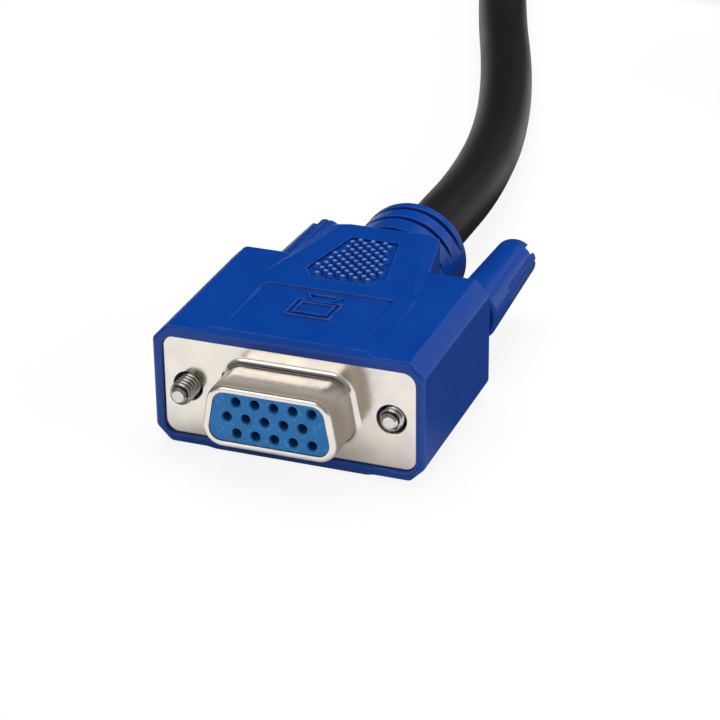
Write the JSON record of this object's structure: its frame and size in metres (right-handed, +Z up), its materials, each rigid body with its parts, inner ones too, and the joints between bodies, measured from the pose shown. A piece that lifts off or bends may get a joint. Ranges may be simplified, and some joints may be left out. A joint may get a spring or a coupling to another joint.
{
  "type": "kvm cable",
  "caption": "Video cable for a keyboard, video and mouse switch, with a blue moulded high-density D socket, thumbscrews, a black lead tied in a coil and a plug end.",
  "frame": {"origin": "on the flat underside of the socket hood, half way along the hood's body", "axes": "+Y along the screws towards the cable, +Z up, +X to the right of someone facing the hood's back"},
  "size_m": [0.096, 0.2769, 0.0176],
  "materials": {
    "blue_moulding": "satin moulded PVC",
    "nickel_plate": "nickel-plated sheet",
    "screw_steel": "plated steel",
    "insulator_blue": "moulded thermoplastic",
    "contact_gilt": "gold flash on brass",
    "wire_sleeve": "wire insulation",
    "cable_jacket": "satin PVC jacket",
    "strap": "hook-and-loop strap"
  },
  "bodies": {
    "cable": {"hood": "blue_moulding", "front_shell": "nickel_plate", "rear_shell": "nickel_plate", "insulator": "insulator_blue", "conductors": "wire_sleeve", "contact_01": "contact_gilt", "contact_02": "contact_gilt", "contact_03": "contact_gilt", "contact_04": "contact_gilt", "contact_05": "contact_gilt", "contact_06": "contact_gilt", "contact_07": "contact_gilt", "contact_08": "contact_gilt", "contact_09": "contact_gilt", "contact_10": "contact_gilt", "contact_11": "contact_gilt", "contact_12": "contact_gilt", "contact_13": "contact_gilt", "contact_14": "contact_gilt", "contact_15": "contact_gilt", "cable_run": "cable_jacket", "cable_coil": "cable_jacket", "coil_tie": "strap", "cable_tail": "cable_jacket", "plug_hood": "blue_moulding", "plug_front_shell": "nickel_plate", "plug_rear_shell": "nickel_plate", "plug_insulator": "insulator_blue", "plug_pins": "contact_gilt", "plug_conductors": "wire_sleeve"},
    "thumbscrew_left": {"screw_left": "screw_steel", "knob_left": "blue_moulding"},
    "thumbscrew_right": {"screw_right": "screw_steel", "knob_right": "blue_moulding"},
    "plug_thumbscrew_left": {"plug_screw_left": "screw_steel", "plug_knob_left": "blue_moulding"},
    "plug_thumbscrew_right": {"plug_screw_right": "screw_steel", "plug_knob_right": "blue_moulding"}
  },
  "joints": [
    {"name": "turn_left", "type": "hinge", "parent": "cable", "child": "thumbscrew_left", "pos_m": [-0.01249, 0.01215, 0.00778], "axis": [0, 1, 0], "continuous": true},
    {"name": "turn_right", "type": "hinge", "parent": "cable", "child": "thumbscrew_right", "pos_m": [0.01249, 0.01215, 0.00778], "axis": [0, 1, 0], "continuous": true},
    {"name": "turn_plug_left", "type": "hinge", "parent": "cable", "child": "plug_thumbscrew_left", "pos_m": [0.02663, 0.14026, 0.00778], "axis": [0, 1, 0], "continuous": true},
    {"name": "turn_plug_right", "type": "hinge", "parent": "cable", "child": "plug_thumbscrew_right", "pos_m": [0.05162, 0.14026, 0.00778], "axis": [0, 1, 0], "continuous": true}
  ]
}
